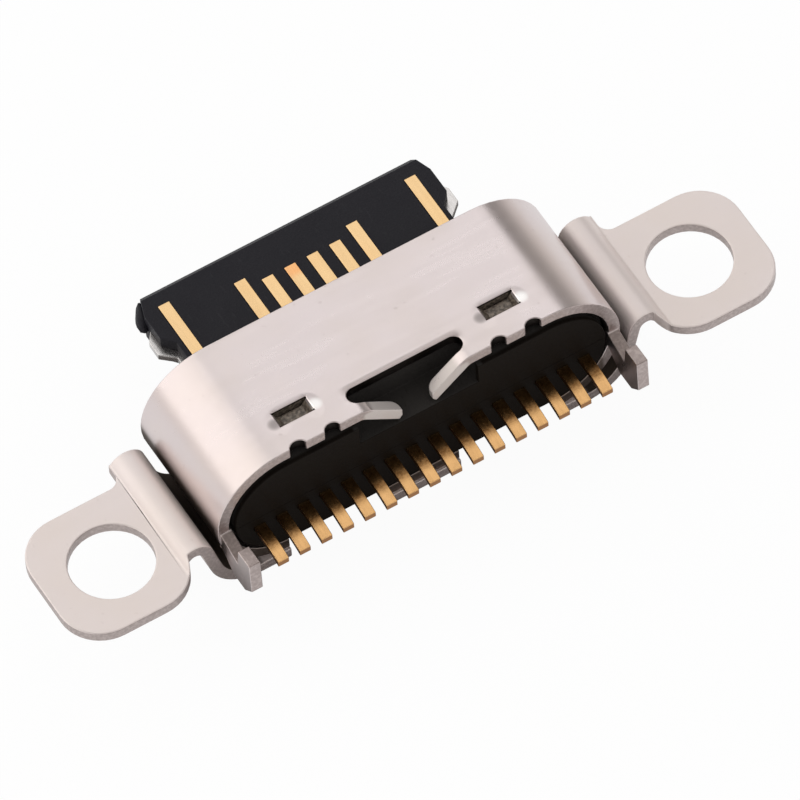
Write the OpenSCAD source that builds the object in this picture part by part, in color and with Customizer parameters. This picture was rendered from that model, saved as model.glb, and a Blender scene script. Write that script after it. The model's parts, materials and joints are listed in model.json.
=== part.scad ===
// Charging port: a short receptacle shell with a bare contact tongue, held by a sheet bracket with two ears.
// The origin is midway between the ear holes, on the ears' underside. +Y points out of the mouth, +Z up.

/* [Shell] */
// Outer width of the shell
shell_w = 8.94; // [8.7:0.02:9.2]
// Outer height of the shell
shell_h = 3.1; // [3:0.05:3.4]
// Thickness of the shell's sheet
shell_t = 0.25; // [0.2:0.01:0.3]
// From the line of the ear holes to the shell's front edge
shell_front = 2.26; // [2:0.02:2.6]
// From the line of the ear holes to the shell's rear edge
shell_rear = 0.68; // [0.64:0.02:0.8]
// Height of the shell's middle above the ears' underside
shell_mid = 0.38; // [0.3:0.02:0.46]

/* [Rear cut-out in the shell's top] */
// Width of the slot at the front of the cut-out
slot_w = 2.52; // [2.2:0.02:2.7]
// Height of that slot, which has round ends
slot_h = 0.36; // [0.26:0.01:0.4]
// Width of each spring arm
arm_w = 0.25; // [0.22:0.01:0.32]
// Radius of the round front corner at each arm's tip
arm_tip_r = 0.16; // [0.08:0.01:0.2]
// Free space between the two arm tips
arm_gap = 0.66; // [0.5:0.02:0.9]
// Angle by which the arms are bent down
arm_angle = 37; // [30:1:42]
// Bend radius of the arms, at the middle of the sheet
arm_bend_r = 0.35; // [0.2:0.01:0.4]

/* [Pressed windows in the shell's top] */
// From the middle of the shell to the middle of a window
window_x = 2.28; // [2:0.02:2.4]
// From the shell's rear edge to the middle of a window
window_set = 0.74; // [0.6:0.02:0.9]
// Length of the pressed bridge's flat
bridge_flat = 0.5; // [0.3:0.02:0.6]
// Length of the ramp at each end of the bridge
bridge_ramp = 0.13; // [0.1:0.01:0.2]
// Width of the window along the part
window_len = 0.36; // [0.26:0.02:0.44]
// Depth to which the bridge is pressed in
bridge_press = 0.17; // [0.1:0.01:0.2]
// Sheared gap beside the bridge
bridge_gap = 0.03; // [0.02:0.01:0.05]

/* [Notches in the shell's rear edge] */
// From the middle to the inner notch
inner_notch_x = 1.84; // [1.7:0.02:1.95]
// Width of the inner notch
inner_notch_w = 0.34; // [0.24:0.02:0.4]
// From the middle to the outer notch
outer_notch_x = 2.6; // [2.4:0.02:2.7]
// Width of the outer notch
outer_notch_w = 0.36; // [0.24:0.02:0.4]
// Depth of the notches, which are round
notch_depth = 0.13; // [0.08:0.01:0.16]
// Depth of the recesses in the shell's lower rear edge, above those in the saddle
floor_recess = 0.3; // [0.2:0.02:0.4]

/* [Shell legs] */
// Reach of a leg behind the shell's rear edge
leg_reach = 1.12; // [0.9:0.02:1.3]
// Top of the leg's end tab above the shell's middle
leg_rise = 0.28; // [0.16:0.02:0.4]
// Bottom of the leg below the shell's middle
leg_low = 0.84; // [0.7:0.02:1.1]
// Bottom of the leg's root below the shell's middle
leg_root_low = 0.45; // [0.36:0.01:0.5]
// Set of the leg's outer face inside the shell's widest line
leg_inset = 0.05; // [0.02:0.01:0.08]
// Length of the end tab
leg_tab_len = 0.44; // [0.36:0.02:0.5]
// Dip of the leg's neck below the shell's middle
leg_neck_dip = 0.2; // [0.1:0.02:0.3]
// Lean of the tab's upper front edge
leg_tab_lean = 0.07; // [0.02:0.01:0.12]
// Slant at the tab's lower corners
leg_slant = 0.28; // [0.1:0.02:0.3]

/* [Bracket] */
// Thickness of the bracket's sheet
bracket_t = 0.25; // [0.2:0.01:0.3]
// Distance between the two ear holes
hole_pitch = 12.86; // [12.6:0.02:13.4]
// Diameter of the ear holes
hole_d = 1.7; // [1.4:0.05:1.8]
// From an ear hole to the end of the ear
ear_reach = 1.45; // [1.3:0.01:1.6]
// Width of an ear
ear_w = 2.9; // [2.6:0.02:3]
// Radius of the ear's outer corners
ear_r = 0.9; // [0.6:0.02:1.1]
// Radius of the ear's corner beside the rear of the strap
ear_root_r = 0.9; // [0.6:0.02:1]
// Fillet between the ear and the front of the strap
ear_fillet_r = 0.25; // [0.1:0.01:0.3]
// From the line of the ear holes to the strap's front edge
strap_front = 1.94; // [1.75:0.02:2.1]
// From the line of the ear holes to the strap's rear edge
strap_rear = 0.74; // [0.66:0.02:0.76]
// Gap between the shell's side and the strap
strap_gap = 0.15; // [0.08:0.01:0.22]
// Rise of the ridge between ear and strap
ridge_rise = 0.17; // [0.1:0.01:0.22]
// Bend radius over the ridge, at the middle of the sheet
ridge_r = 0.276; // [0.24:0.002:0.34]
// Bend radius at the foot of the ridge, at the middle of the sheet
ridge_foot_r = 0.2; // [0.18:0.01:0.3]
// Lean of the strap's walls under the shell
strap_lean = 15; // [8:1:18]
// Bend radius under the shell, at the middle of the sheet
saddle_r = 1; // [0.8:0.02:1.1]
// Half width of the tab in the middle of the saddle's rear edge
saddle_tab_x = 0.8; // [0.5:0.05:1]
// From the middle to the outer end of the recess beside that tab
saddle_recess_x = 2.98; // [2.4:0.02:3.2]
// Depth of the recesses in the saddle's rear edge
saddle_recess = 0.45; // [0.3:0.02:0.6]

/* [Tongue] */
// Width of the tongue's plastic
tongue_w = 6.4; // [6.3:0.02:6.5]
// Thickness of the tongue
tongue_t = 0.7; // [0.66:0.01:0.74]
// Reach of the tongue in front of the shell's front edge
tongue_reach = 2.48; // [2.2:0.02:2.6]
// Width of the tongue's tip
tip_w = 6.06; // [5.8:0.02:6.2]
// Length over which the tip tapers
tip_len = 0.48; // [0.3:0.01:0.6]
// Lead-in chamfer on the tip's upper and lower edges
tip_chamfer = 0.14; // [0.05:0.01:0.16]
// Length of the full-width stretch behind the taper
cheek_len = 0.61; // [0.4:0.01:0.7]
// Width of the tongue's neck behind the latch recess
neck_w = 5.96; // [5.9:0.02:6.04]
// Length of the slant from full width to the neck
neck_slant = 0.27; // [0.15:0.01:0.35]

/* [Mid plate] */
// Thickness of the mid plate
plate_t = 0.15; // [0.1:0.01:0.18]
// Width over the plate's latch hooks
plate_w = 6.7; // [6.6:0.02:6.8]
// Width of the plate behind the hooks
plate_neck_w = 6.14; // [6.1:0.02:6.2]
// From the tongue's tip to the front of the hooks
hook_set = 0.89; // [0.8:0.01:1]
// Length of each hook's straight side
hook_len = 0.35; // [0.25:0.01:0.45]
// Length of the hook's slanted shoulders
hook_slant = 0.26; // [0.2:0.01:0.3]
// From the tongue's tip to the plate's front edge
plate_set = 0.49; // [0.4:0.01:0.6]
// Gap between the plate's rear edge and the cranked contacts
plate_gap = 0.14; // [0.1:0.01:0.2]

/* [Contacts] */
// Pitch of the contacts on the tongue
contact_pitch = 0.5; // [0.48:0.005:0.51]
// Width of a contact on the tongue
contact_w = 0.25; // [0.2:0.01:0.28]
// Thickness of the contact strip
contact_t = 0.13; // [0.1:0.01:0.14]
// Height of the contacts above the tongue's faces
contact_proud = 0.02; // [0.01:0.01:0.03]
// From the tongue's tip to the two outermost contacts
ground_set = 0.44; // [0.35:0.01:0.55]
// From the tongue's tip to the next contacts inward
power_set = 0.76; // [0.65:0.01:0.85]
// From the tongue's tip to the four middle contacts
signal_set = 0.97; // [0.85:0.01:1.05]
// Pitch of the solder tails
tail_pitch = 0.48; // [0.44:0.01:0.5]
// Width of a solder tail
tail_w = 0.24; // [0.18:0.01:0.26]
// Reach of the tails behind the insulator
tail_reach = 0.88; // [0.76:0.02:1]
// Straight length of a tail behind the insulator
tail_straight = 0.18; // [0.1:0.02:0.3]
// Angle by which a tail has curved down at its end
tail_slope = 18; // [12:1:22]
// Bend radius of the contacts, at the middle of the strip
contact_bend_r = 0.15; // [0.12:0.01:0.16]
// Straight length behind the tongue's base, before the contacts spread
spread_set = 0.1; // [0.06:0.01:0.14]
// Length over which the contacts spread from the tongue's pitch to the tails' pitch
spread_len = 0.8; // [0.7:0.02:0.84]

/* [Insulators] */
// Gap between the insulators and the inside of the shell
fit_gap = 0.03; // [0.02:0.01:0.05]
// Reach of the insulators behind the shell's rear edge
insulator_reach = 0.06; // [0.02:0.01:0.08]
// Extra gap round the insulators' rear end
rear_relief = 0.08; // [0.04:0.01:0.1]
// Length of that rear end
rear_relief_len = 0.3; // [0.2:0.02:0.4]
// From the shell's front edge to the face that the tongue stands on
mouth_depth = 0.8; // [0.6:0.02:0.9]
// Thickness of the tongue's base
base_len = 0.55; // [0.4:0.02:0.6]
// Gap between the spring arms' tips and the insulator under them
arm_rest_gap = 0.02; // [0.01:0.01:0.04]
// Room left round the arms and the pressed bridges
pocket_gap = 0.05; // [0.03:0.01:0.08]

/* [Hidden] */
$fn = 64;
// Largest turn between two points of a bend, in degrees
bend_step = 6;
// Steps of a tail's long curve
tail_count = 6;
// Largest turn between two points of a small corner, in degrees
corner_step = 15;
// Overshoot of cutting solids
over = 0.5;
// Overlap of forms that are joined into one solid
lap = 0.05;

shell_top = shell_mid + shell_h / 2;
shell_bottom = shell_mid - shell_h / 2;
tip_y = shell_front + tongue_reach;
insulator_rear = shell_rear + insulator_reach;
base_front = shell_front - mouth_depth;
base_rear = base_front - base_len;

// Contacts in a row, counted from the left: number 1, numbers 4 to 9, number 12
pin_count = 8;
ROWS = ["a", "b"];
function pin_number(k) = k == 0 ? 1 : k == pin_count - 1 ? 12 : k + 3;
function contact_name(row, k) = str("contact_", row, pin_number(row == "a" ? k : pin_count - 1 - k));
upper_z = shell_mid + tongue_t / 2 + contact_proud - contact_t / 2;
lower_z = shell_mid - tongue_t / 2 - contact_proud + contact_t / 2;
// The contacts spread sideways between these lines
spread_front = base_rear - spread_set;
spread_rear = spread_front - spread_len;
tail_start = spread_rear - 2 * contact_bend_r;
plate_rear = spread_rear + plate_gap;

CONTACTS = [for (row = ROWS, k = [0 : pin_count - 1]) contact_name(row, k)];

// Unit vectors along a heading and to its left
function ahead(h) = [cos(h), sin(h)];
function left(h) = [-sin(h), cos(h)];

// Middle line of a bent strip, as points with headings. Each step is [length, 0] or [radius, turn].
function walk(steps, p, h, i = 0) =
    i == len(steps) ? [[p, h]] :
    let (size = steps[i][0], turn = steps[i][1])
    turn == 0 ? concat([[p, h]], walk(steps, p + size * ahead(h), h, i + 1)) :
    let (side = sign(turn) * size, centre = p + side * left(h), n = ceil(abs(turn) / bend_step))
    concat(
        [for (k = [0 : n - 1]) let (g = h + turn * k / n) [centre - side * left(g), g]],
        walk(steps, centre - side * left(h + turn), h + turn, i + 1)
    );

// Outline of a strip of thickness t along a middle line
function strip(path, t) = concat(
    [for (q = path) q[0] + t / 2 * left(q[1])],
    [for (i = [len(path) - 1 : -1 : 0]) path[i][0] - t / 2 * left(path[i][1])]
);

// Stands an XZ outline up and extrudes it from y0 to y1
module along_y(y0, y1) {
    translate([0, y1, 0]) rotate([90, 0, 0]) linear_extrude(y1 - y0) children();
}

// Stands a YZ outline up and extrudes it from x0 to x1
module along_x(x0, x1) {
    translate([x0, 0, 0]) rotate([90, 0, 90]) linear_extrude(x1 - x0) children();
}

// Extrudes an XY outline from z0 to z1
module along_z(z0, z1) {
    translate([0, 0, z0]) linear_extrude(z1 - z0) children();
}

module both_sides() {
    for (side = [0, 1]) mirror([side, 0, 0]) children();
}

// Stadium of the shell's section, drawn smaller all round by inset
module section(inset) {
    h = shell_h - 2 * inset;
    span = shell_w - shell_h;
    translate([0, shell_mid]) {
        square([span, h], center = true);
        for (s = [-1, 1]) translate([s * span / 2, 0]) circle(d = h);
    }
}

// Round-ended slot at the front of the cut-out
module slot_outline() {
    translate([0, -shell_rear + arm_w + slot_h / 2]) {
        square([slot_w - slot_h, slot_h], center = true);
        for (s = [-1, 1]) translate([s * (slot_w - slot_h) / 2, 0]) circle(d = slot_h);
    }
}

// The slot and the space behind it
module cutout_outline() {
    slot_outline();
    translate([-slot_w / 2, -shell_rear - over]) square([slot_w, over + arm_w + slot_h / 2]);
}

// Middle line of a spring arm, from its root to its tip
arm_run = slot_w / 2 - arm_gap / 2 - arm_bend_r * sin(arm_angle);
arm_path = walk(
    [[lap, 0], [arm_bend_r, arm_angle], [arm_run / cos(arm_angle), 0]],
    [slot_w / 2 + lap, shell_top - shell_t / 2], 180
);
arm_tip = arm_path[len(arm_path) - 1][0];
arm_floor = arm_tip[1] - shell_t / 2 * cos(arm_angle) - arm_rest_gap;

// Plan of an arm: a fillet from the slot's end to its front edge, and a round front corner at its tip
module arm_outline() {
    tip = arm_tip[0];
    root = slot_w / 2;
    r = slot_h / 2;
    t = arm_tip_r;
    translate([0, -shell_rear])
        polygon(concat(
            [[tip, 0], [root + lap, 0], [root + lap, arm_w + r]],
            [for (a = [0 : corner_step : 90]) [root - r + r * cos(a), arm_w + r - r * sin(a)]],
            [for (a = [0 : corner_step : 90]) [tip + t - t * sin(a), arm_w - t + t * cos(a)]]
        ));
}

module spring_arm() {
    intersection() {
        along_y(-shell_rear - over, -shell_rear + arm_w + slot_h) polygon(strip(arm_path, shell_t));
        along_z(shell_mid, shell_top + over) arm_outline();
    }
}

// Strip between the two sheared edges of a window, pressed down and joined to the sheet by its ramps
bridge_floor = shell_top - shell_t - bridge_press;
module pressed_bridge() {
    flat = bridge_flat / 2;
    end = flat + bridge_ramp;
    half = window_len / 2 - bridge_gap;
    translate([window_x, -shell_rear + window_set, shell_top])
        along_y(-half, half)
            polygon([[-end - lap, 0], [-end, 0], [-flat, -bridge_press], [flat, -bridge_press], [end, 0],
                [end + lap, 0], [end + lap, -shell_t], [end, -shell_t], [flat, -shell_t - bridge_press],
                [-flat, -shell_t - bridge_press], [-end, -shell_t], [-end - lap, -shell_t]]);
}

module window_outline(gap) {
    w = bridge_flat + 2 * bridge_ramp + 2 * gap;
    translate([window_x, -shell_rear + window_set]) square([w, window_len + 2 * gap], center = true);
}

// Round bite of a given width in the shell's rear edge
module notch(x, w) {
    r = w * w / (8 * notch_depth) + notch_depth / 2;
    translate([x, -shell_rear + notch_depth - r]) circle(r);
}

// Leg in line with the shell's side wall, with a deeper tab at its end
module leg() {
    end = -shell_rear - leg_reach;
    neck = end + leg_tab_len;
    root = -shell_rear + lap;
    face = shell_w / 2 - leg_inset;
    along_x(face - shell_t, face)
        translate([0, shell_mid])
            polygon([[root, 0], [-shell_rear, 0], [neck + leg_tab_lean, -leg_neck_dip], [neck, leg_rise],
                [end, leg_rise], [end, -leg_low + leg_slant], [end + leg_slant, -leg_low],
                [neck + leg_slant, -leg_low], [-shell_rear, -leg_root_low], [root, -leg_root_low]]);
}

module shell() {
    color("silver") {
        difference() {
            along_y(-shell_rear, shell_front) section(0);
            along_y(-shell_rear - over, shell_front + over) section(shell_t);
            along_z(shell_mid, shell_top + over) {
                cutout_outline();
                both_sides() {
                    window_outline(0);
                    notch(inner_notch_x, inner_notch_w);
                    notch(outer_notch_x, outer_notch_w);
                }
            }
            both_sides()
                along_z(shell_bottom - over, shell_mid)
                    translate([saddle_tab_x, -shell_rear - over])
                        square([saddle_recess_x - saddle_tab_x, over + floor_recess]);
        }
        both_sides() {
            spring_arm();
            pressed_bridge();
            leg();
        }
    }
}

// Middle line of the bracket's sheet, from the end of an ear over the ridge and down under the shell
ear_end = hole_pitch / 2 + ear_reach;
ridge_x = shell_w / 2 + strap_gap + bracket_t / 2 + ridge_r;
ridge_angle = acos(1 - ridge_rise / (ridge_r + ridge_foot_r));
ridge_start = ridge_x + (ridge_r + ridge_foot_r) * sin(ridge_angle);
strap_turn = 90 - strap_lean;
strap_fall = bracket_t + ridge_rise - shell_bottom - (ridge_r + saddle_r) * (1 - cos(strap_turn));
strap_len = strap_fall / sin(strap_turn);
saddle_x = ridge_x - (ridge_r + saddle_r) * sin(strap_turn) - strap_len * cos(strap_turn);
bracket_path = walk(
    [[ear_end - ridge_start, 0], [ridge_foot_r, -ridge_angle], [ridge_r, ridge_angle + strap_turn],
        [strap_len, 0], [saddle_r, -strap_turn], [saddle_x + lap, 0]],
    [ear_end, bracket_t / 2], 180
);

// Half of the flat outline of the bracket, seen from above
module bracket_outline() {
    ear_in = ridge_x + ridge_r / 2;
    half = ear_w / 2;
    // Ear with two large outer corners and a round corner at the rear of the strap
    translate([ear_in + ear_root_r, -half]) square([ear_end - ear_r - ear_in - ear_root_r, ear_w]);
    translate([ear_in, -half + ear_root_r]) square([ear_end - ear_in, ear_w - ear_root_r - ear_r]);
    translate([ear_in, 0]) square([ear_end - ear_r - ear_in, half]);
    translate([ear_in + ear_root_r, -half + ear_root_r]) circle(ear_root_r);
    for (s = [-1, 1]) translate([ear_end - ear_r, s * (half - ear_r)]) circle(ear_r);
    // Strap and its fillet into the ear's front edge
    difference() {
        translate([-lap, -strap_rear]) square([ridge_start + lap, strap_rear + strap_front]);
        translate([saddle_tab_x, -strap_rear - over])
            square([saddle_recess_x - saddle_tab_x, over + saddle_recess]);
    }
    difference() {
        translate([ridge_start, half]) square(ear_fillet_r);
        translate([ridge_start + ear_fillet_r, half + ear_fillet_r]) circle(ear_fillet_r);
    }
}

module mounting_bracket() {
    color("silver")
        both_sides()
            difference() {
                intersection() {
                    along_y(-ear_w, ear_w) polygon(strip(bracket_path, bracket_t));
                    along_z(shell_bottom - over - bracket_t, bracket_t + over) bracket_outline();
                }
                translate([hole_pitch / 2, 0, -over]) cylinder(d = hole_d, h = bracket_t + 2 * over);
            }
}

// Place of a contact on the tongue and of its tail, by row and by count from the left
function contact_x(k) = (pin_number(k) - (pin_number(0) + pin_number(pin_count - 1)) / 2) * contact_pitch;
function tail_x(row, k) =
    let (left_half = k < pin_count / 2, place = left_half == (row == "a") ? 2 * k : 2 * k + 1)
    (place - pin_count + 0.5) * tail_pitch;
function tip_set(k) =
    let (from_end = min(k, pin_count - 1 - k))
    from_end == 0 ? ground_set : from_end == 1 ? power_set : signal_set;

// Steps of a contact's middle line behind the spread: crank or straight, root and long curve down
crank_steps = [[contact_bend_r, 90], [upper_z - lower_z - 2 * contact_bend_r, 0], [contact_bend_r, -90]];
straight_steps = [[2 * contact_bend_r, 0]];
tail_root = insulator_rear + tail_start + tail_straight;
tail_curve_r = (tail_reach - tail_straight) / sin(tail_slope);
tail_steps = concat(
    [[tail_root, 0]],
    [for (k = [1 : tail_count]) [tail_curve_r, tail_slope / tail_count]],
    [[lap, 0]]
);

// A contact: a bent strip, cut to a plan that spreads sideways to its tail. The upper row is cranked down.
module contact(row, k) {
    upper = row == "a";
    tip = tip_y - tip_set(k);
    x = contact_x(k);
    tail = tail_x(row, k);
    tail_end = -insulator_rear - tail_reach;
    w = contact_w / 2;
    v = tail_w / 2;
    steps = concat([[tip - spread_rear, 0]], upper ? crank_steps : straight_steps, tail_steps);
    path = walk(steps, [tip, upper ? upper_z : lower_z], 180);
    color("goldenrod")
        intersection() {
            along_x(-shell_w / 2, shell_w / 2) polygon(strip(path, contact_t));
            along_z(shell_bottom, shell_top)
                polygon([[x - w, tip + over], [x + w, tip + over], [x + w, spread_front],
                    [tail + v, spread_rear], [tail + v, tail_end], [tail - v, tail_end],
                    [tail - v, spread_rear], [x - w, spread_front]]);
        }
}

module all_contacts() {
    for (row = ROWS, k = [0 : pin_count - 1]) contact(row, k);
}

// Half of a symmetrical outline is given from front to rear; the other half is its mirror image
module mirrored_outline(half) {
    n = len(half);
    polygon(concat(half, [for (i = [n - 1 : -1 : 0]) [-half[i][0], half[i][1]]]));
}

module mid_plate() {
    hook_front = tip_y - hook_set;
    hook_rear = hook_front - hook_len;
    color("gainsboro")
        along_z(shell_mid - plate_t / 2, shell_mid + plate_t / 2)
            mirrored_outline([
                [plate_neck_w / 2, tip_y - plate_set], [plate_w / 2, hook_front], [plate_w / 2, hook_rear],
                [plate_neck_w / 2, hook_rear - hook_slant], [plate_neck_w / 2, plate_rear]
            ]);
}

module tongue_outline() {
    cheek = tip_y - tip_len;
    neck = cheek - cheek_len;
    mirrored_outline([
        [tip_w / 2, tip_y], [tongue_w / 2, cheek], [tongue_w / 2, neck], [neck_w / 2, neck - neck_slant],
        [neck_w / 2, base_front - lap]
    ]);
}

// Side profile of the tongue, chamfered at the tip
module tongue_profile() {
    half = tongue_t / 2;
    nose = half - tip_chamfer;
    translate([0, shell_mid])
        polygon([[base_front - over, -half], [tip_y - tip_chamfer, -half], [tip_y, -nose], [tip_y, nose],
            [tip_y - tip_chamfer, half], [base_front - over, half]]);
}

module tongue_overmould() {
    color("#2d2d30")
        difference() {
            union() {
                intersection() {
                    along_z(shell_bottom, shell_top) tongue_outline();
                    along_x(-tongue_w, tongue_w) tongue_profile();
                }
                along_y(base_rear, base_front) section(shell_t + fit_gap);
            }
            mid_plate();
            all_contacts();
        }
}

// Insulator block behind the tongue's base, between two heights, with a slightly smaller rear end
module insulator_block(z0, z1) {
    relief_front = -insulator_rear + rear_relief_len;
    intersection() {
        union() {
            along_y(relief_front, base_rear) section(shell_t + fit_gap);
            along_y(-insulator_rear, relief_front + lap) section(shell_t + fit_gap + rear_relief);
        }
        along_z(z0, z1) square(2 * shell_w, center = true);
    }
}

module upper_insulator() {
    pocket_x = slot_w / 2 + pocket_gap;
    pocket_front = -shell_rear + arm_w + slot_h + pocket_gap;
    color("#26262a")
        difference() {
            insulator_block(shell_mid, shell_top);
            translate([-pocket_x, -insulator_rear - over, arm_floor])
                cube([2 * pocket_x, pocket_front + insulator_rear + over, shell_h]);
            both_sides()
                along_z(bridge_floor - pocket_gap, shell_top) window_outline(pocket_gap);
            mid_plate();
            all_contacts();
        }
}

module lower_insulator() {
    color("#222226")
        difference() {
            insulator_block(shell_bottom, shell_mid);
            mid_plate();
            all_contacts();
        }
}

shell();
mounting_bracket();
upper_insulator();
lower_insulator();
tongue_overmould();
mid_plate();
for (row = ROWS, k = [0 : pin_count - 1])
    contact(row, k);
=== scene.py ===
"""Looks of a charging port: a plated shell with a bare black tongue, gold contacts and a bracket.

Every mesh is in metres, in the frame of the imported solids. Patterns, places and small sizes in the
finishes are written in millimetres.
"""

import json
import logging
import math
from dataclasses import dataclass
from enum import Enum

import bmesh
import bpy
from mathutils import Matrix, Vector, noise

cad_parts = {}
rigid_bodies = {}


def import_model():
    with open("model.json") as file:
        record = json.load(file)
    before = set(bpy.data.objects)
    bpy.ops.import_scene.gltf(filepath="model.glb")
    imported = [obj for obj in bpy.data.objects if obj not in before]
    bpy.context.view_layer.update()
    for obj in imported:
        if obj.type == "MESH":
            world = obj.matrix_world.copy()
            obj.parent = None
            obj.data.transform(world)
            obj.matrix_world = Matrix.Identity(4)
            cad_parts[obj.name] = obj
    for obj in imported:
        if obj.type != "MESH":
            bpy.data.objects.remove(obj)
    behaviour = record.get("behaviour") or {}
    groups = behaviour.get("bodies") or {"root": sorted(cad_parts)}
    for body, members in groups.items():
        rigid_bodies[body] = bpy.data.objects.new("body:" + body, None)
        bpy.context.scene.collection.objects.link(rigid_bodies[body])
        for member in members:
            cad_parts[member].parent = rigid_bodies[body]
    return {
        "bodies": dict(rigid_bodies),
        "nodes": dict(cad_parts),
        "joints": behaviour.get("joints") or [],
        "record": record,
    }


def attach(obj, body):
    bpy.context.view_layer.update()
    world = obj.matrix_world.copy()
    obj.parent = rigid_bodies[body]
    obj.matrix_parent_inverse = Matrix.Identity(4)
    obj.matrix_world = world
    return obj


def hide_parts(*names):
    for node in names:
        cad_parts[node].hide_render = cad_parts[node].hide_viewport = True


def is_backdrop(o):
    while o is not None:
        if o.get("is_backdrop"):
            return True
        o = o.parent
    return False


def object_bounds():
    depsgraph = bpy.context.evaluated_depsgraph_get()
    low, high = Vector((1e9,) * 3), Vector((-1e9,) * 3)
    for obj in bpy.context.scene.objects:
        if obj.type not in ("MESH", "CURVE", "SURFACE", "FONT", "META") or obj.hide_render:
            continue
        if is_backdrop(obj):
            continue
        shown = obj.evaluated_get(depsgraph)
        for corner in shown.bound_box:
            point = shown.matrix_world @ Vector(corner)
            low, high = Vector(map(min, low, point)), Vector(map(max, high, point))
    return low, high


LOG = logging.getLogger("charging_port")
MM = 0.001
PER_MM = 1000.0
BODY = "root"

Number = int | float
Span = tuple[float, float]
Triple = tuple[float, float, float]
EVEN: Triple = (1.0, 1.0, 1.0)


class Slot(Enum):
    """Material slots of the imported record."""

    NICKEL = "nickel_sheet"
    PLASTIC = "black_plastic"
    PLATE = "plate_steel"
    GOLD = "gold_contact"


class Output(Enum):
    """Last node of a tree."""

    MATERIAL = "ShaderNodeOutputMaterial"
    WORLD = "ShaderNodeOutputWorld"


@dataclass(frozen=True)
class Speckle:
    """A noise pattern: how fine it is, where it rises from 0 to 1, and how it is stretched."""

    per_mm: float
    low: float = 0.3
    high: float = 0.7
    octaves: float = 2.0
    stretch: Triple = EVEN


class Value:
    """One output socket of a node tree. Arithmetic on it adds Math nodes."""

    def __init__(self, web: "Web", socket: bpy.types.NodeSocket) -> None:
        """Keeps the tree and the socket."""
        self.web = web
        self.socket = socket

    def _math(self, operation: str, *terms: "Value | Number") -> "Value":
        """Adds one Math node.

        Args:
            operation: The Math node's operation.
            terms: Its inputs in order, as sockets or numbers.

        Returns:
            The node's output.
        """
        node = self.web.node("ShaderNodeMath", {"operation": operation}, dict(enumerate(terms)))
        return self.web.out(node)

    def __add__(self, other: "Value | Number") -> "Value":
        """Sum."""
        return self._math("ADD", self, other)

    def __sub__(self, other: "Value | Number") -> "Value":
        """Difference."""
        return self._math("SUBTRACT", self, other)

    def __rsub__(self, other: Number) -> "Value":
        """Difference from a number."""
        return self._math("SUBTRACT", other, self)

    def __mul__(self, other: "Value | Number") -> "Value":
        """Product."""
        return self._math("MULTIPLY", self, other)

    __radd__ = __add__
    __rmul__ = __mul__

    def __abs__(self) -> "Value":
        """Size without sign."""
        return self._math("ABSOLUTE", self)

    def __or__(self, other: "Value") -> "Value":
        """The larger of two masks."""
        return self._math("MAXIMUM", self, other)

    def rise(self, low: Number, high: Number) -> "Value":
        """Goes smoothly from 0 at low to 1 at high.

        Args:
            low: Where the rise starts.
            high: Where it ends.

        Returns:
            The mask, between 0 and 1.
        """
        settings = {"interpolation_type": "SMOOTHSTEP"}
        sockets = {"Value": self, "From Min": low, "From Max": high}
        return self.web.out(self.web.node("ShaderNodeMapRange", settings, sockets))

    def near(self, middle: Number, half: Number, soft: Number) -> "Value":
        """Is 1 close to a value and falls to 0 beside it.

        Args:
            middle: That value.
            half: How far the mask stays 1.
            soft: Over how much more it falls.

        Returns:
            The mask.
        """
        return 1.0 - abs(self - middle).rise(half, half + soft)


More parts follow.
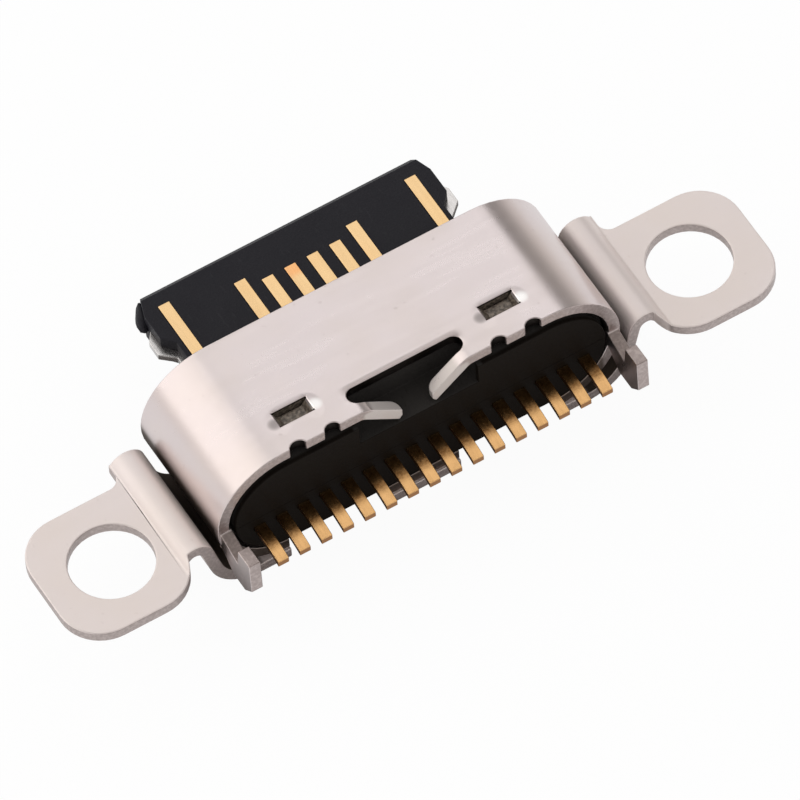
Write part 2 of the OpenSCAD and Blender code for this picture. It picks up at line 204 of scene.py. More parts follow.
class Web:
    """The node tree of one material or of the world."""

    def __init__(self, tree: bpy.types.NodeTree, output: Output = Output.MATERIAL) -> None:
        """Empties the tree.

        Args:
            tree: The tree.
            output: Its last node.
        """
        self.tree = tree
        self.output = output
        tree.nodes.clear()

    def node(
        self, kind: str, settings: dict | None = None, sockets: dict | None = None
    ) -> bpy.types.Node:
        """Adds one node.

        Args:
            kind: The node's type.
            settings: Properties that are set first.
            sockets: Values or links of the inputs, by name or number.

        Returns:
            The new node.
        """
        made = self.tree.nodes.new(kind)
        for key, setting in (settings or {}).items():
            setattr(made, key, setting)
        for key, given in (sockets or {}).items():
            if isinstance(given, Value):
                self.tree.links.new(given.socket, made.inputs[key])
            else:
                made.inputs[key].default_value = given
        return made

    def out(self, node: bpy.types.Node, name: str | int = 0) -> Value:
        """An output of a node, by name or number."""
        return Value(self, node.outputs[name])

    def millimetres(self, stretch: Triple = EVEN) -> Value:
        """Object coordinates in millimetres.

        Args:
            stretch: Factor along each axis.

        Returns:
            The vector.
        """
        place = self.out(self.node("ShaderNodeTexCoord"), "Object")
        scale = tuple(PER_MM * s for s in stretch)
        return self.out(self.node("ShaderNodeMapping", None, {"Vector": place, "Scale": scale}))

    def speckle(self, kind: Speckle) -> Value:
        """A noise pattern between 0 and 1.

        Args:
            kind: The pattern.

        Returns:
            The pattern's strength.
        """
        place = self.millimetres(kind.stretch)
        sockets = {"Vector": place, "Scale": kind.per_mm, "Detail": kind.octaves}
        return self.out(self.node("ShaderNodeTexNoise", None, sockets)).rise(kind.low, kind.high)

    def axes(self, vector: Value) -> tuple[Value, Value, Value]:
        """The three parts of a vector."""
        parts = self.node("ShaderNodeSeparateXYZ", None, {0: vector})
        return tuple(self.out(parts, i) for i in range(3))

    def place(self) -> tuple[Value, Value, Value]:
        """X, Y and Z in millimetres."""
        return self.axes(self.millimetres())

    def facing(self) -> tuple[Value, Value, Value]:
        """The three parts of the surface's normal."""
        return self.axes(self.out(self.node("ShaderNodeNewGeometry"), "Normal"))

    def mix(self, factor: "Value | float", a: "Value | Triple", b: "Value | Triple") -> Value:
        """Mixes two colours.

        Args:
            factor: Share of the second colour.
            a: First colour.
            b: Second colour.

        Returns:
            The mixed colour.
        """
        ends = [c if isinstance(c, Value) else (*c, 1.0) for c in (a, b)]
        settings = {"data_type": "RGBA", "clamp_factor": True}
        sockets = {"Factor": factor, 6: ends[0], 7: ends[1]}
        return self.out(self.node("ShaderNodeMix", settings, sockets), 2)

    def bump(self, height: Value, depth_mm: float, under: "Value | None" = None) -> Value:
        """A Bump node over an optional earlier one.

        Args:
            height: Height, where 1 is the full depth.
            depth_mm: That depth.
            under: The normal that this one is laid over.

        Returns:
            The normal.
        """
        sockets = {"Height": height, "Distance": depth_mm * MM, "Strength": 1.0}
        if under is not None:
            sockets["Normal"] = under
        return self.out(self.node("ShaderNodeBump", None, sockets))

    def surface(self, shader: bpy.types.Node) -> None:
        """Links a shader node to the tree's output."""
        self.node(self.output.value, None, {"Surface": self.out(shader)})


def new_material(name: str) -> tuple[bpy.types.Material, Web]:
    """An empty node material.

    Args:
        name: Its name.

    Returns:
        The material and its tree.
    """
    material = bpy.data.materials.new(name)
    material.use_nodes = True
    return material, Web(material.node_tree)


@dataclass(frozen=True)
class NickelFinish:
    """Dull nickel plate on stamped sheet, with greyer sheared edges."""

    name: str
    plate: Triple = (0.745, 0.67, 0.672)
    warm: Triple = (0.765, 0.685, 0.67)
    sheared: Triple = (0.41, 0.345, 0.33)
    torn: Triple = (0.54, 0.465, 0.445)
    speck: Triple = (0.46, 0.40, 0.38)
    speck_share: float = 0.06
    gloss: float = 0.26
    sheared_gloss: float = 0.34
    cloud_rough: float = 0.04
    rolled_rough: float = 0.03
    grain_rough: float = 0.03
    speck_rough: float = 0.1
    cloud: Speckle = Speckle(0.5, 0.35, 0.65, 3.0)
    rolled: Speckle = Speckle(8.0, 0.3, 0.7, 2.0, (0.1, 1.0, 1.0))
    grain: Speckle = Speckle(45.0)
    specks: Speckle = Speckle(9.0, 0.79, 0.87, 0.0)
    tears: Speckle = Speckle(16.0, 0.35, 0.75)
    grain_height: float = 0.5
    rolled_height: float = 0.2
    grain_mm: float = 0.00014
    tear_mm: float = 0.002

    def cut(self, web: Web) -> Value:
        """Mask of the sheared edges."""
        raise NotImplementedError

    def worked(self, web: Web) -> Value:
        """Height of the press marks in the sheet, in millimetres."""
        raise NotImplementedError

    def wear_and_painted_light(self, web: Web, colour: Value) -> "tuple[Value, Value | float]":
        """Colour and metallic share, with painted light and shade and other changes to a piece."""
        raise NotImplementedError

    def build(self) -> bpy.types.Material:
        """Makes the finish.

        Returns:
            The material.
        """
        material, web = new_material(self.name)
        cut = self.cut(web)
        cloud, rolled, grain = (web.speckle(s) for s in (self.cloud, self.rolled, self.grain))
        specks, tears = web.speckle(self.specks), web.speckle(self.tears)
        clean = web.mix(cloud, self.plate, self.warm)
        face = web.mix(specks * self.speck_share, clean, self.speck)
        edge = web.mix(tears, self.sheared, self.torn)
        rough = self.gloss + cloud * self.cloud_rough + rolled * self.rolled_rough
        rough = rough + grain * self.grain_rough + specks * self.speck_rough
        rough = rough + cut * (self.sheared_gloss - self.gloss)
        normal = web.bump(self.worked(web), 1.0)
        skin = grain * self.grain_height + rolled * self.rolled_height
        normal = web.bump(skin, self.grain_mm, normal)
        normal = web.bump(tears * cut, self.tear_mm, normal)
        colour, metal = self.wear_and_painted_light(web, web.mix(cut, face, edge))
        sockets = {"Base Color": colour, "Metallic": metal, "Roughness": rough, "Normal": normal}
        web.surface(web.node("ShaderNodeBsdfPrincipled", None, sockets))
        return material


@dataclass(frozen=True)
class ShellNickel(NickelFinish):
    """The shell's plate, drawn in at the ends of its windows and rolled over at sheared edges."""

    window_x: float = 2.28
    window_y: float = 0.06
    window_half: float = 0.37
    window_side: float = 0.18
    window_soft: float = 0.02
    press_z: float = 1.9
    press_soft: float = 0.03
    dish_x: float = 0.37
    dish_y: float = -0.01
    dish_r: float = 0.24
    dish_long: float = 0.5
    dish_mm: float = 0.009
    end_spot_x: float = 0.45
    end_spot_r: float = 0.17
    slot_y: float = -0.07
    slot_half: float = 1.1
    slot_soft: float = 0.3
    roll: float = 0.12
    roll_mm: float = 0.03
    roll_fade: Span = (-0.34, -0.16)
    window_roll: float = 0.5
    window_roll_inset: float = 0.1
    window_roll_soft: float = 0.15
    arm_y: float = -0.25
    arm_end_soft: float = 0.05
    arm_z: float = 1.86
    arm_soft: float = 0.1
    arm_foot_z: Span = (1.0, 1.1)
    crown_z: float = 1.5
    crown_soft: float = 0.1
    rear_y: float = -0.7
    leg_soft: float = 0.02
    wall_shade_from: float = 0.04
    wall_shade_to: float = 0.07
    flank_x: float = 4.0
    flank_z: float = 0.36
    flank_soft_x: float = 0.2
    flank_soft_z: float = 0.24
    flank_from: float = 0.06
    flank_to: float = 0.2
    flank_share: float = 0.9
    low_rim_soft_x: float = 0.1
    low_rim_soft_z: float = 0.3
    low_rim_turn: Span = (-0.7, -0.4)
    low_rim_share: float = 0.75
    rim_turn: Span = (0.75, 0.9)
    wall_turn: Span = (0.3, 0.5)
    leg_turn: Span = (0.5, 0.8)
    # Painted shade on the pressed bridges in the windows, speckled, and less metallic there.
    bridge_shade: Triple = (0.07, 0.055, 0.042)
    bridge_shade_speck: Triple = (0.27, 0.22, 0.175)
    bridge_shade_dull: float = 0.85
    arm: Triple = (0.66, 0.60, 0.57)
    arm_dull: float = 0.6
    # Painted shade on the walls of the openings in the top.
    painted_wall_shade: Triple = (0.02, 0.016, 0.014)
    # Painted highlight and painted shade at the windows' ends.
    painted_glint: Triple = (1.0, 0.98, 0.97)
    painted_end_shade: Triple = (0.27, 0.24, 0.235)
    end_shade_share: float = 0.8
    # Colour of the painted shade on the lower flanks and the lower rear rim.
    low_shade: Triple = (0.10, 0.072, 0.05)

    def cut(self, web: Web) -> Value:
        """Rims at both ends, walls of the openings in the top, and the legs' outline.

        Args:
            web: The tree.

        Returns:
            The mask.
        """
        nx, ny, _ = web.facing()
        y = web.place()[1]
        rims = abs(ny).rise(*self.rim_turn)
        behind = 1.0 - y.rise(self.rear_y - self.leg_soft, self.rear_y)
        legs = behind * (1.0 - abs(nx).rise(*self.leg_turn))
        return rims | self.walls(web) | legs

    def walls(self, web: Web) -> Value:
        """Upright walls of the openings in the shell's top.

        Args:
            web: The tree.

        Returns:
            The mask.
        """
        z = web.place()[2]
        upright = 1.0 - abs(web.facing()[2]).rise(*self.wall_turn)
        return z.rise(self.crown_z, self.crown_z + self.crown_soft) * upright

    def worked(self, web: Web) -> Value:
        """Height of the sheet round the windows and at the slot's front edge.

        Args:
            web: The tree.

        Returns:
            The height in millimetres.
        """
        x, y, _ = web.place()
        across = abs(abs(x) - self.window_x)
        beside, along = across - self.dish_x, y - self.dish_y
        apart = beside * beside + along * along * self.dish_long
        dish = 1.0 - apart.rise(0.0, self.dish_r * self.dish_r)
        slot = self.rolled_edge(y - self.slot_y)
        slot = slot * abs(x).near(0.0, self.slot_half, self.slot_soft)
        inset = self.window_half - self.window_roll_inset
        edge = self.rolled_edge(y - self.window_y - self.window_side)
        edge = edge * across.near(0.0, inset, self.window_roll_soft)
        return 1.0 - dish * self.dish_mm - (slot | edge * self.window_roll) * self.roll_mm

    def rolled_edge(self, ahead: Value) -> Value:
        """How far the sheet is drawn down at the front edge of an opening, from 0 to 1.

        Args:
            ahead: Distance in front of the edge.

        Returns:
            The mask, which also fades behind the edge.
        """
        return (1.0 - ahead.rise(-self.roll, self.roll)) * ahead.rise(*self.roll_fade)

    def bent_arms(self, web: Web) -> Value:
        """The two spring arms that are bent down in the rear cut-out.

        Args:
            web: The tree.

        Returns:
            The mask.
        """
        x, y, z = web.place()
        sunk = 1.0 - z.rise(self.arm_z - self.arm_soft, self.arm_z)
        sunk = sunk * z.rise(*self.arm_foot_z)
        inside = abs(x).near(0.0, self.slot_half, self.arm_soft)
        return sunk * inside * (1.0 - y.rise(self.arm_y, self.arm_y + self.arm_end_soft))

    def bridges(self, web: Web) -> Value:
        """The pressed sheet inside the two windows.

        Args:
            web: The tree.

        Returns:
            The mask.
        """
        x, y, z = web.place()
        inside = abs(abs(x) - self.window_x).near(0.0, self.window_half, self.window_soft)
        inside = inside * y.near(self.window_y, self.window_side, self.window_soft)
        return inside * (1.0 - z.rise(self.press_z - self.press_soft, self.press_z))

    def painted_low_shade(self, web: Web) -> Value:
        """Where shade is painted: the lower flanks and the lower part of the rear rim.

        Args:
            web: The tree.

        Returns:
            The mask.
        """
        x, y, z = web.place()
        flank = abs(x).rise(self.flank_x, self.flank_x + self.flank_soft_x)
        flank = flank * (1.0 - z.rise(self.flank_z, self.flank_z + self.flank_soft_z))
        flank = flank * y.rise(self.rear_y + self.flank_from, self.rear_y + self.flank_to)
        low_rim = 1.0 - z.rise(self.flank_z, self.flank_z + self.low_rim_soft_z)
        low_rim = low_rim * (1.0 - abs(x).rise(self.flank_x, self.flank_x + self.low_rim_soft_x))
        low_rim = low_rim * (1.0 - web.facing()[1].rise(*self.low_rim_turn))
        return flank * self.flank_share | low_rim * self.low_rim_share

    def window_end(self, x: Value, y: Value, middle: float) -> Value:
        """Mask of a round spot at one end of a window.

        Args:
            x: Place along the shell.
            y: Place across it.
            middle: The spot's middle along the shell.

        Returns:
            The mask.
        """
        beside, along = x - middle, y - self.dish_y
        apart = beside * beside + along * along
        return 1.0 - apart.rise(0.0, self.end_spot_r * self.end_spot_r)

    def wear_and_painted_light(self, web: Web, colour: Value) -> tuple[Value, Value]:
        """Painted shade on the lower flanks, a painted highlight and painted shade at the windows'
        ends, painted shade on the openings' walls and the bridges, pale arms.

        Args:
            web: The tree.
            colour: The plate's colour.

        Returns:
            The colour and the metallic share.
        """
        x, y, _ = web.place()
        # Painted shade on the lower flanks and the lower rear rim.
        colour = web.mix(self.painted_low_shade(web), colour, self.low_shade)
        # Each window gets a painted highlight at its +X end and painted shade at its -X end.
        for window in (-self.window_x, self.window_x):
            bright = self.window_end(x, y, window + self.end_spot_x)
            grey = self.window_end(x, y, window - self.end_spot_x)
            colour = web.mix(bright, colour, self.painted_glint)
            colour = web.mix(grey * self.end_shade_share, colour, self.painted_end_shade)
        # Painted shade on the walls of the openings, in front of the rear rim.
        ahead = y.rise(self.rear_y + self.wall_shade_from, self.rear_y + self.wall_shade_to)
        colour = web.mix(self.walls(web) * ahead, colour, self.painted_wall_shade)
        arm, bridge = self.bent_arms(web), self.bridges(web)
        # The bridges get speckled painted shade; the bent arms get a paler, duller tone.
        shaded_bridge = web.mix(web.speckle(self.tears), self.bridge_shade, self.bridge_shade_speck)
        colour = web.mix(bridge, web.mix(arm, colour, self.arm), shaded_bridge)
        return colour, 1.0 - (bridge * self.bridge_shade_dull | arm * self.arm_dull)


@dataclass(frozen=True)
class BracketNickel(NickelFinish):
    """The bracket's plate, with a bend mark at the foot of each ridge."""

    plate: Triple = (0.87, 0.785, 0.765)
    warm: Triple = (0.88, 0.79, 0.755)
    dull: float = 0.5
    gap_x: float = 4.2
    gap_half: float = 0.5
    gap_soft: float = 0.15
    gap_z: float = -0.2
    gap_fade: float = 0.3
    gap_turn: Span = (0.5, 0.8)
    # Colour of the painted shade in the gap beside the shell.
    shaded: Triple = (0.09, 0.07, 0.055)
    bend_x: float = 5.42
    bend_half: float = 0.015
    bend_soft: float = 0.1
    bend_mm: float = 0.0015
    ear_x: float = 5.3
    ear_soft: float = 0.05
    ear_turn: Span = (0.25, 0.45)
    end_turn: Span = (0.6, 0.8)

    def cut(self, web: Web) -> Value:
        """Front and rear edges, the ears' outline and the holes.

        Args:
            web: The tree.

        Returns:
            The mask.
        """
        _, ny, nz = web.facing()
        x = web.place()[0]
        ears = abs(x).rise(self.ear_x, self.ear_x + self.ear_soft)
        return abs(ny).rise(*self.end_turn) | ears * (1.0 - abs(nz).rise(*self.ear_turn))

    def worked(self, web: Web) -> Value:
        """A shallow line where the bending tool pressed."""
        bend = abs(web.place()[0]).near(self.bend_x, self.bend_half, self.bend_soft)
        return 1.0 - bend * self.bend_mm

    def wear_and_painted_light(self, web: Web, colour: Value) -> tuple[Value, float]:
        """The tumbled plate's own colour, half of it dull, with painted shade in the gap beside the
        shell.

        Args:
            web: The tree.
            colour: The plate's colour.

        Returns:
            The colour and the metallic share.
        """
        x, _, z = web.place()
        # Painted shade in the gap beside the shell, low down, not on faces that look front or back.
        gap = abs(x).near(self.gap_x, self.gap_half, self.gap_soft)
        gap = gap * (1.0 - z.rise(self.gap_z, self.gap_z + self.gap_fade))
        gap = gap * (1.0 - abs(web.facing()[1]).rise(*self.gap_turn))
        return web.mix(gap, colour, self.shaded), self.dull


@dataclass(frozen=True)
class PlasticFinish:
    """Matte moulded plastic with a fine erosion grain and a few paler fibres."""

    name: str
    base: Triple = (0.010, 0.010, 0.014)
    pale: Triple = (0.013, 0.013, 0.018)
    fibre: Triple = (0.022, 0.022, 0.027)
    crown: Triple = (0.0125, 0.012, 0.0175)
    inner_y: float = -0.68
    inner_soft: float = 0.08
    ledge_half: float = 1.4
    ledge_soft: float = 0.05
    ledge_turn: Span = (0.8, 0.95)
    gloss: float = 0.46
    grain_rough: float = 0.12
    cloud_rough: float = 0.06
    shine: float = 0.25
    cloud: Speckle = Speckle(1.2, 0.3, 0.7, 3.0)
    grain: Speckle = Speckle(30.0, 0.3, 0.7, 3.0)
    fibres: Speckle = Speckle(16.0, 0.62, 0.74, 2.0, (1.0, 0.25, 1.0))
    fibre_share: float = 0.5
    fibre_height: float = 0.4
    grain_mm: float = 0.002

    def build(self) -> bpy.types.Material:
        """Makes the finish.

        Returns:
            The material.
        """
        material, web = new_material(self.name)
        cloud, grain, fibres = (web.speckle(s) for s in (self.cloud, self.grain, self.fibres))
        x, y, _ = web.place()
        # Faces in front of the rear face, and the pocket's floor, take the crown tone; on the
        # insulators it is lighter than the rear face, painted light where the shell shades them.
        ledge = web.facing()[2].rise(*self.ledge_turn)
        ledge = ledge * abs(x).near(0.0, self.ledge_half, self.ledge_soft)
        inner = y.rise(self.inner_y, self.inner_y + self.inner_soft) | ledge
        flat = web.mix(inner, web.mix(cloud, self.base, self.pale), self.crown)
        sockets = {
            "Base Color": web.mix(fibres * self.fibre_share, flat, self.fibre),
            "Roughness": self.gloss + grain * self.grain_rough + cloud * self.cloud_rough,
            "Normal": web.bump(grain + fibres * self.fibre_height, self.grain_mm),
            "Specular IOR Level": self.shine,
        }
        web.surface(web.node("ShaderNodeBsdfPrincipled", None, sockets))
        return material


@dataclass(frozen=True)
class GoldFinish:
    """Thin gold plate on copper strip, worn at one tip, with mottled painted shade at the roots of
    the tails.
    """

    name: str
    gold: Triple = (0.83, 0.575, 0.30)
    deep: Triple = (0.81, 0.545, 0.275)
    copper: Triple = (0.86, 0.42, 0.17)
    bronze: Triple = (1.0, 0.61, 0.27)
    cut: Triple = (0.28, 0.12, 0.045)
    cut_share: float = 0.9
    cut_turn: Span = (0.3, 0.6)
    gloss: float = 0.2
    drawn_rough: float = 0.05
    grain_rough: float = 0.02
    cut_rough: float = 0.1
    cloud: Speckle = Speckle(1.3, 0.4, 0.7)
    drawn: Speckle = Speckle(14.0, 0.3, 0.7, 1.0, (1.0, 0.06, 1.0))
    grain: Speckle = Speckle(40.0)
    worn_x: float = -0.25
    worn_half_x: float = 0.14
    worn_soft_x: float = 0.02
    worn_y: float = 3.66
    worn_half_y: float = 0.06
    worn_soft_y: float = 0.2
    worn_least: float = 0.6
    worn_patchy: float = 0.4
    tail_y: float = -0.7
    tail_soft: float = 0.1
    # Painted shade at the tails' roots, mottled.
    root_shade_y: float = -1.43
    root_shade_soft: float = 0.26
    root_shade_least: float = 0.7
    root_shade_patchy: float = 0.3
    root_shade: Triple = (0.34, 0.17, 0.06)
    root_shade_mottle: Speckle = Speckle(18.0, 0.3, 0.7)
    grain_mm: float = 0.00008

    def build(self) -> bpy.types.Material:
        """Makes the finish.

        Returns:
            The material.
        """
        material, web = new_material(self.name)
        cloud, drawn, grain = (web.speckle(s) for s in (self.cloud, self.drawn, self.grain))
        x, y, _ = web.place()
        sheared = 1.0 - abs(web.facing()[2]).rise(*self.cut_turn)
        wear_and_painted_light = x.near(self.worn_x, self.worn_half_x, self.worn_soft_x)
        wear_and_painted_light = wear_and_painted_light * y.near(self.worn_y, self.worn_half_y, self.worn_soft_y)
        wear_and_painted_light = wear_and_painted_light * (self.worn_least + cloud * self.worn_patchy)
        face = web.mix(wear_and_painted_light, web.mix(cloud, self.gold, self.deep), self.copper)
        tail = 1.0 - y.rise(self.tail_y - self.tail_soft, self.tail_y)
        # Tails are darker towards their roots: painted shade, mottled.
        root = y.rise(self.root_shade_y, self.root_shade_y + self.root_shade_soft)
        root = root * (self.root_shade_least + web.speckle(self.root_shade_mottle) * self.root_shade_patchy)
        face = web.mix(tail, face, web.mix(root, self.bronze, self.root_shade))
        rough = self.gloss + drawn * self.drawn_rough + grain * self.grain_rough
        sockets = {
            "Base Color": web.mix(sheared * self.cut_share, face, self.cut),
            "Metallic": 1.0,
            "Roughness": rough + sheared * self.cut_rough,
            "Normal": web.bump((drawn + grain) * 0.5, self.grain_mm),
        }
        web.surface(web.node("ShaderNodeBsdfPrincipled", None, sockets))
        return material


@dataclass(frozen=True)
class SteelFinish:
    """Plain stainless strip, drawn along the part."""

    name: str
    steel: Triple = (0.72, 0.70, 0.69)
    dark: Triple = (0.56, 0.54, 0.53)
    dark_share: float = 0.4
    gloss: float = 0.22
    drawn_rough: float = 0.08
    grain_rough: float = 0.05
    drawn: Speckle = Speckle(30.0, 0.4, 0.8, 2.0, (1.0, 0.06, 1.0))
    grain: Speckle = Speckle(50.0)
    grain_mm: float = 0.0002

    def build(self) -> bpy.types.Material:
        """Makes the finish.

        Returns:
            The material.
        """
        material, web = new_material(self.name)
        drawn, grain = web.speckle(self.drawn), web.speckle(self.grain)
        sockets = {
            "Base Color": web.mix(drawn * self.dark_share, self.steel, self.dark),
            "Metallic": 1.0,
            "Roughness": self.gloss + drawn * self.drawn_rough + grain * self.grain_rough,
            "Normal": web.bump((drawn + grain) * 0.5, self.grain_mm),
        }
        web.surface(web.node("ShaderNodeBsdfPrincipled", None, sockets))
        return material


@dataclass(frozen=True)
class EdgeRound:
    """Small rounding that a stamped or moulded edge has."""

    width_mm: float
    segments: int = 2
    profile: float = 0.5
    crease_deg: float = 20.0
    weld_mm: float = 0.0005
    flat_deg: float = 0.4

    def rounded(self, node: bpy.types.Object, name: str) -> bpy.types.Object:
        """A merged copy of a CAD node's mesh with its creases rounded.

        Args:
            node: The CAD node's object, which stays as it is.
            name: Name of the copy.

        Returns:
            The copy, linked to the scene.
        """
        form = bmesh.new()
        form.from_mesh(node.data)
        low, high = ([pick(v.co[i] for v in form.verts) for i in range(3)] for pick in (min, max))
        turns = form.loops.layers.float_vector.new("turn")
        loops = (loop for face in form.faces for loop in face.loops)
        for loop, normal in zip(loops, node.data.corner_normals):
            loop[turns] = normal.vector
        bmesh.ops.scale(form, vec=(PER_MM,) * 3, verts=form.verts)
        bmesh.ops.remove_doubles(form, verts=form.verts, dist=self.weld_mm)
        for edge in form.edges:
            edge.smooth = not self.creased(edge, turns)
        form.loops.layers.float_vector.remove(turns)
        bmesh.ops.dissolve_limit(
            form,
            angle_limit=math.radians(self.flat_deg),
            verts=form.verts,
            edges=form.edges,
            delimit={"SHARP"},
        )
        bmesh.ops.bevel(
            form,
            geom=[edge for edge in form.edges if not edge.smooth],
            offset=self.width_mm,
            offset_type="OFFSET",
            segments=self.segments,
            profile=self.profile,
            affect="EDGES",
            clamp_overlap=False,
            material=-1,
        )
        bmesh.ops.dissolve_degenerate(form, dist=self.weld_mm, edges=form.edges)
        for edge in form.edges:
            edge.smooth = True
        for face in form.faces:
            face.smooth = True
        bmesh.ops.scale(form, vec=(MM,) * 3, verts=form.verts)
        for corner in form.verts:
            corner.co = [min(max(v, a), b) for v, a, b in zip(corner.co, low, high)]
        return finished(form, name)

    def creased(self, edge: bmesh.types.BMEdge, turns: bmesh.types.BMLayerItem) -> bool:
        """Whether the solid's surface turns sharply at an edge.

        Args:
            edge: The edge.
            turns: Layer of the solid's own normals at the corners of the faces.

        Returns:
            True for a crease.
        """
        if len(edge.link_loops) != 2:
            return False
        a, b = edge.link_loops
        ends = ((a, b.link_loop_next), (a.link_loop_next, b))
        return max(p[turns].angle(q[turns], 0.0) for p, q in ends) > math.radians(self.crease_deg)


def finished(form: bmesh.types.BMesh, name: str) -> bpy.types.Object:
    """Makes an object of a bmesh, shaded so that its large faces look flat.

    Args:
        form: The bmesh, which is freed.
        name: Name of the object.

    Returns:
        The object.
    """
    mesh = bpy.data.meshes.new(name)
    form.to_mesh(mesh)
    form.free()
    leans = [Vector() for _ in mesh.vertices]
    for face in mesh.polygons:
        for corner in face.vertices:
            leans[corner] += face.normal * (face.area * PER_MM * PER_MM) ** 2
    mesh.normals_split_custom_set_from_vertices([lean.normalized() for lean in leans])
    piece = bpy.data.objects.new(name, mesh)
    bpy.context.scene.collection.objects.link(piece)
    return piece


def dress(piece: bpy.types.Object, material: bpy.types.Material) -> None:
    """Gives a piece its body and its finish.

    Args:
        piece: The piece.
        material: The finish.
    """
    piece.data.materials.clear()
    piece.data.materials.append(material)
    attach(piece, BODY)
    LOG.info("%s in %s", piece.name, material.name)


@dataclass(frozen=True)
class RoundedNode:
    """A CAD node that is shown by a copy with rounded edges."""

    node: str
    shown_as: str
    slot: Slot
    edge: EdgeRound

    def build(self, frame: dict, material: bpy.types.Material) -> None:
        """Makes and dresses the copy.

        Args:
            frame: The loaded frame.
            material: The finish.
        """
        piece = self.edge.rounded(frame["nodes"][self.node], self.shown_as)
        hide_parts(self.node)
        dress(piece, material)


@dataclass(frozen=True)
class SheetWork:
    """The shell and the bracket, both of plated sheet."""

    shell_edge: EdgeRound = EdgeRound(0.02, 3)
    bracket_edge: EdgeRound = EdgeRound(0.03, 3)
    bracket_gloss: float = 0.42

    def build(self, frame: dict) -> None:
        """Makes both pieces.

        Args:
            frame: The loaded frame.
        """
        shell = RoundedNode("shell", "shell_sheet", Slot.NICKEL, self.shell_edge)
        shell.build(frame, ShellNickel("shell_nickel").build())
        bracket = RoundedNode("mounting_bracket", "bracket_sheet", Slot.NICKEL, self.bracket_edge)
        bracket.build(frame, BracketNickel("bracket_nickel", gloss=self.bracket_gloss).build())


@dataclass(frozen=True)
class Mouldings:
    """The tongue's overmould with its gate mark, and the two insulators."""

    edge: EdgeRound = EdgeRound(0.02, 2)
    tongue_edge: EdgeRound = EdgeRound(0.012, 2)
    gate_at: Triple = (-3.16, 4.47, 0.4)
    gate_half: Triple = (0.13, 0.36, 0.2)
    gate_end: float = 4.735
    gate_turn_deg: float = -19.5
    gate_taper: float = 0.5
    gate_rough: float = 0.2
    gate_grain: float = 1.7
    gate_levels: int = 3
    brown: Triple = (0.0085, 0.0062, 0.0048)
    brown_pale: Triple = (0.0105, 0.008, 0.006)
    brown_fibre: Triple = (0.014, 0.011, 0.009)
    # Lighter tone inside the shell: painted light on the insulators' shaded faces.
    brown_painted_light: Triple = (0.032, 0.029, 0.027)
    brown_shine: float = 0.05

    def gate_mark(self) -> bpy.types.Object:
        """The rough lump that the mould's gate left at the tongue's left front corner.

        Returns:
            The lump.
        """
        form = bmesh.new()
        bmesh.ops.create_icosphere(form, subdivisions=self.gate_levels, radius=1.0)
        for corner in form.verts:
            dent = abs(noise.noise(corner.co * self.gate_grain))
            corner.co *= 1.0 - self.gate_rough * dent
            corner.co.x *= 1.0 - self.gate_taper * corner.co.y
        bmesh.ops.scale(form, vec=[h * MM for h in self.gate_half], verts=form.verts)
        turn = Matrix.Rotation(math.radians(self.gate_turn_deg), 3, "Z")
        bmesh.ops.rotate(form, cent=(0.0, 0.0, 0.0), matrix=turn, verts=form.verts)
        bmesh.ops.translate(form, vec=[p * MM for p in self.gate_at], verts=form.verts)
        for corner in form.verts:
            corner.co.y = min(corner.co.y, self.gate_end * MM)
        for face in form.faces:
            face.smooth = True
        return finished(form, "gate_mark")

    def insulator_finish(self) -> PlasticFinish:
        """The insulators' browner plastic."""
        tones = (self.brown, self.brown_pale, self.brown_fibre, self.brown_painted_light)
        return PlasticFinish("insulator_plastic", *tones, shine=self.brown_shine)

    def build(self, frame: dict) -> None:
        """Makes the mouldings.

        Args:
            frame: The loaded frame.
        """
        black = PlasticFinish("tongue_plastic").build()
        tongue = RoundedNode("tongue_overmould", "tongue_moulding", Slot.PLASTIC, self.tongue_edge)
        tongue.build(frame, black)
        dress(self.gate_mark(), black)
        brown = self.insulator_finish().build()
        for half in ("upper", "lower"):
            block = RoundedNode(f"{half}_insulator", f"{half}_block", Slot.PLASTIC, self.edge)
            block.build(frame, brown)


@dataclass(frozen=True)
class StripWork:
    """The mid plate and the sixteen contacts."""

    edge: EdgeRound = EdgeRound(0.012, 2)

    def build(self, frame: dict) -> None:
        """Makes the plate and each contact.

        Args:
            frame: The loaded frame.
        """
        plate = RoundedNode("mid_plate", "mid_strip", Slot.PLATE, self.edge)
        plate.build(frame, SteelFinish("drawn_steel").build())
        gold = GoldFinish("contact_gold").build()
        for node in sorted(n for n in frame["nodes"] if n.startswith("contact_")):
            strip = RoundedNode(node, node.replace("contact", "strip"), Slot.GOLD, self.edge)
            strip.build(frame, gold)


@dataclass(frozen=True)
class Softbox:
    """A rectangular area lamp that faces the object."""

    name: str
    towards: Triple
    distance_mm: float
    width_mm: float
    height_mm: float
    radiance: float
    colour: Triple = EVEN

    def build(self) -> None:
        """Hangs the lamp."""
        lamp = bpy.data.lights.new(self.name, "AREA")
        lamp.shape = "RECTANGLE"
        lamp.size = self.width_mm * MM
        lamp.size_y = self.height_mm * MM
        lamp.energy = self.radiance * math.pi * lamp.size * lamp.size_y
        lamp.color = self.colour
        piece = bpy.data.objects.new(self.name, lamp)
        away = Vector(self.towards).normalized()
        piece.location = away * self.distance_mm * MM
        piece.rotation_euler = away.to_track_quat("Z", "Y").to_euler()
        bpy.context.scene.collection.objects.link(piece)


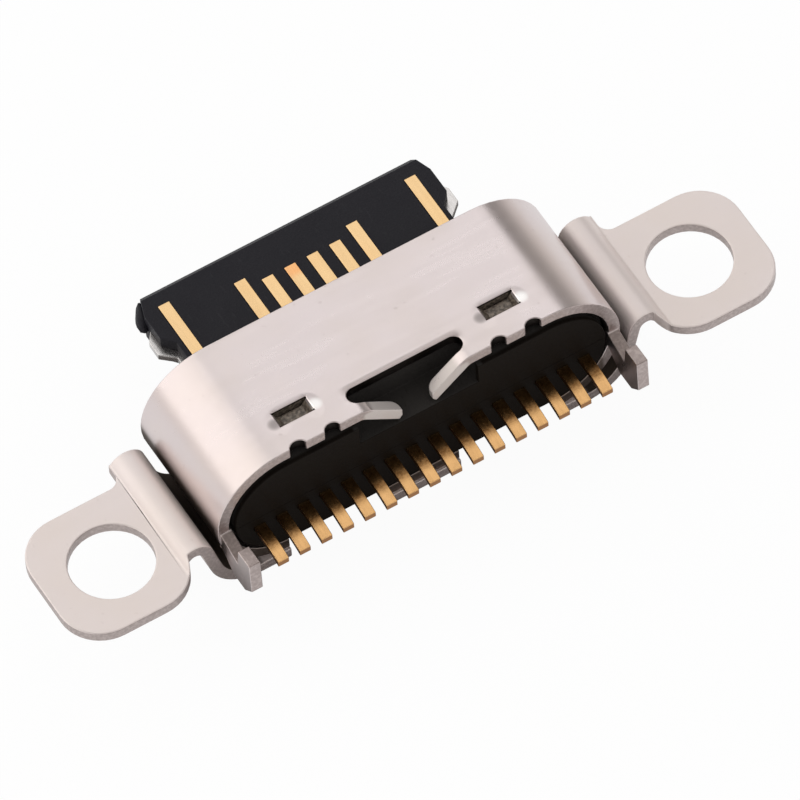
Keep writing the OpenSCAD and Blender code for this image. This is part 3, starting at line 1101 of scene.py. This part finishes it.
@dataclass(frozen=True)
class Studio:
    """Camera, pale floor and soft light."""

    target_mm: Triple = (-0.064, -0.073, 0.727)
    distance_mm: float = 267.95
    azimuth_deg: float = -26.475
    elevation_deg: float = 55.373
    roll_deg: float = -5.188
    lens_mm: float = 632.4
    sensor_mm: float = 36.0
    clip_mm: float = 10.0
    floor_mm: float = 1500.0
    floor_colour: Triple = (0.92, 0.92, 0.92)
    floor_white: float = 0.95
    floor_dim: float = 0.1
    floor_shade: Triple = (0.06, 0.05, 0.045)
    under_half_x: float = 4.6
    under_soft_x: float = 1.4
    under_y: float = 1.3
    under_half_y: float = 2.3
    under_soft_y: float = 1.7
    room_level: float = 0.55
    horizon_level: float = 0.78
    ceiling_level: float = 0.25
    ceiling_rise: Span = (0.1, 0.45)
    zenith_level: float = 0.06
    zenith_rise: Span = (0.8, 0.92)
    horizon_tint: Triple = (1.0, 0.945, 0.89)
    boxes: tuple[Softbox, ...] = (
        Softbox("top_box", (0.24, 0.584, 0.775), 160.0, 116.0, 76.0, 0.96),
        Softbox("left_box", (-0.58, 0.509, 0.64), 150.0, 172.0, 150.0, 1.1, (1.0, 0.975, 0.935)),
        Softbox("tail_box", (0.25, 0.034, 0.967), 160.0, 80.0, 56.0, 0.82, (1.0, 0.95, 0.9)),
        Softbox("rear_box", (0.1, -0.8, 0.6), 160.0, 150.0, 90.0, 0.5),
    )

    def camera(self) -> None:
        """Makes the camera at the photograph's viewing angle."""
        data = bpy.data.cameras.new("camera")
        data.sensor_width = self.sensor_mm
        data.lens = self.lens_mm
        data.clip_start = self.clip_mm * MM
        piece = bpy.data.objects.new("camera", data)
        a, e = math.radians(self.azimuth_deg), math.radians(self.elevation_deg)
        back = Vector((math.sin(a) * math.cos(e), -math.cos(a) * math.cos(e), math.sin(e)))
        turn = (-back).to_track_quat("-Z", "Y").to_matrix().to_4x4()
        place = Matrix.Translation((Vector(self.target_mm) + back * self.distance_mm) * MM)
        piece.matrix_world = place @ turn @ Matrix.Rotation(math.radians(self.roll_deg), 4, "Z")
        bpy.context.scene.collection.objects.link(piece)
        bpy.context.scene.camera = piece

    @staticmethod
    def shown(web: Web) -> tuple[Value, Value]:
        """Masks of the rays that show the set.

        Args:
            web: The tree.

        Returns:
            1 for camera, glossy and transmitted rays, and 1 for glossy rays alone.
        """
        path = web.node("ShaderNodeLightPath")
        glossy = web.out(path, "Is Glossy Ray")
        return web.out(path, "Is Camera Ray") | glossy | web.out(path, "Is Transmission Ray"), glossy

    def floor(self, level_m: float) -> None:
        """Lays the floor.

        Args:
            level_m: Height of the object's lowest point.
        """
        form = bmesh.new()
        bmesh.ops.create_grid(form, x_segments=1, y_segments=1, size=self.floor_mm * MM / 2)
        bmesh.ops.translate(form, vec=(0.0, 0.0, level_m), verts=form.verts)
        piece = finished(form, "floor")
        material, web = new_material("floor_paper")
        paper = web.node("ShaderNodeBsdfDiffuse", None, {"Color": (*self.floor_colour, 1.0)})
        shown, glossy = self.shown(web)
        x, y, _ = web.place()
        # Glossy rays see the floor dark close under and behind the object: a painted shadow in
        # reflections.
        under = abs(x).near(0.0, self.under_half_x, self.under_soft_x)
        under = under * y.near(self.under_y, self.under_half_y, self.under_soft_y)
        dim = self.floor_dim + under * (1.0 - self.floor_dim)
        tone = web.mix(glossy * dim, EVEN, self.floor_shade)
        white = web.node("ShaderNodeEmission", None, {"Color": tone, "Strength": 1.0})
        sockets = {0: shown * self.floor_white, 1: web.out(paper), 2: web.out(white)}
        web.surface(web.node("ShaderNodeMixShader", None, sockets))
        piece.data.materials.append(material)
        piece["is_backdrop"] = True

    def world(self) -> None:
        """Sets a white surround whose upper part is greyer in reflections."""
        world = bpy.data.worlds.new("surround")
        bpy.context.scene.world = world
        world.use_nodes = True
        web = Web(world.node_tree, Output.WORLD)
        shown, glossy = self.shown(web)
        height = web.axes(web.out(web.node("ShaderNodeTexCoord"), "Generated"))[2]
        ceiling = height.rise(*self.ceiling_rise) * (self.horizon_level - self.ceiling_level)
        zenith = height.rise(*self.zenith_rise) * (self.ceiling_level - self.zenith_level)
        mirrored = self.horizon_level - ceiling - zenith
        seen = 1.0 - glossy * (1.0 - mirrored)
        strength = self.room_level + shown * (seen - self.room_level)
        colour = web.mix(glossy, EVEN, self.horizon_tint)
        web.surface(web.node("ShaderNodeBackground", None, {"Color": colour, "Strength": strength}))

    def build(self, low: Vector) -> None:
        """Makes the whole set.

        Args:
            low: Lowest corner of the object.
        """
        self.camera()
        self.floor(low.z)
        self.world()
        for box in self.boxes:
            box.build()
        bpy.context.scene.view_settings.view_transform = "Standard"
        LOG.info("studio")


def clear_scene() -> None:
    """Removes whatever a new file starts with."""
    for piece in list(bpy.data.objects):
        bpy.data.objects.remove(piece)


def main() -> None:
    """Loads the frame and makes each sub-assembly."""
    logging.basicConfig(level=logging.INFO, format="%(message)s")
    clear_scene()
    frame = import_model()
    solid_box = [list(corner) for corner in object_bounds()]
    SheetWork().build(frame)
    Mouldings().build(frame)
    StripWork().build(frame)
    Studio().build(Vector(solid_box[0]))


if __name__ == "__main__":
    main()
